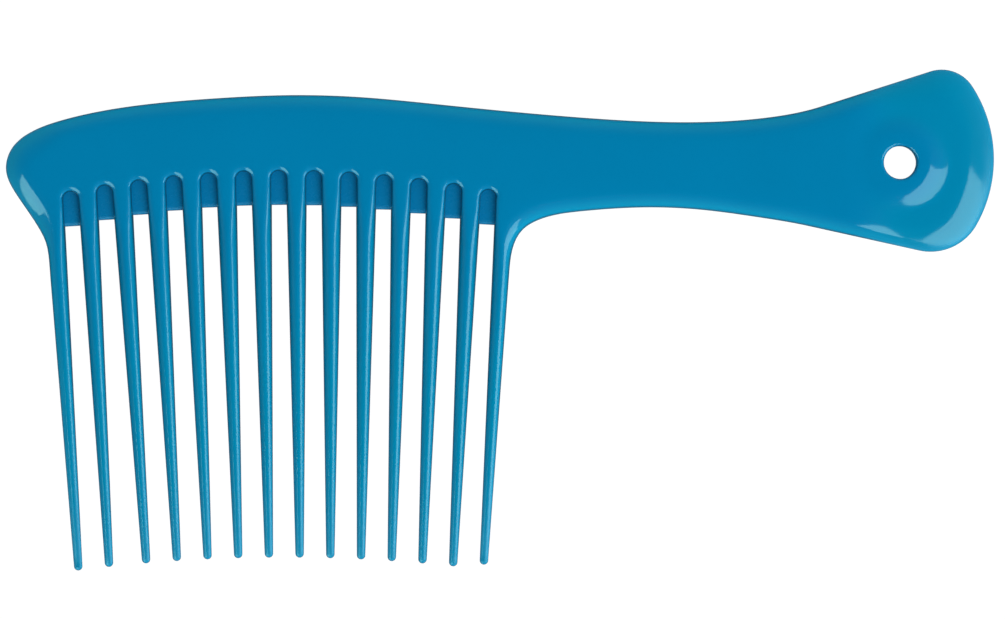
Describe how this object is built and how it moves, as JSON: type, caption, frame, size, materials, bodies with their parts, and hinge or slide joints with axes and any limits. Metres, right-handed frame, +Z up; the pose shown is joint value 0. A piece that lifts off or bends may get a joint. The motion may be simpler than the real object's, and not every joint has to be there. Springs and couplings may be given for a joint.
{
  "type": "wide tooth comb",
  "caption": "Handled rake comb: a crowned spine with widely spaced tapered round teeth, arched pockets at their roots, and a flared handle end with a hanging hole.",
  "frame": {"origin": "middle of the bounding box's underside, with the comb lying flat", "axes": "+X along the length from the nose to the end of the handle, +Y from the tooth tips to the back of the spine, +Z up through the thickness, along the hanging hole"},
  "size_m": [0.23, 0.1166, 0.006],
  "materials": {
    "comb_plastic": "gloss, blue, very slightly translucent where thin"
  },
  "bodies": {
    "root": {"handle": "comb_plastic", "spine": "comb_plastic", "root_web": "comb_plastic", "tooth_01": "comb_plastic", "tooth_02": "comb_plastic", "tooth_03": "comb_plastic", "tooth_04": "comb_plastic", "tooth_05": "comb_plastic", "tooth_06": "comb_plastic", "tooth_07": "comb_plastic", "tooth_08": "comb_plastic", "tooth_09": "comb_plastic", "tooth_10": "comb_plastic", "tooth_11": "comb_plastic", "tooth_12": "comb_plastic", "tooth_13": "comb_plastic", "tooth_14": "comb_plastic"}
  },
  "joints": []
}
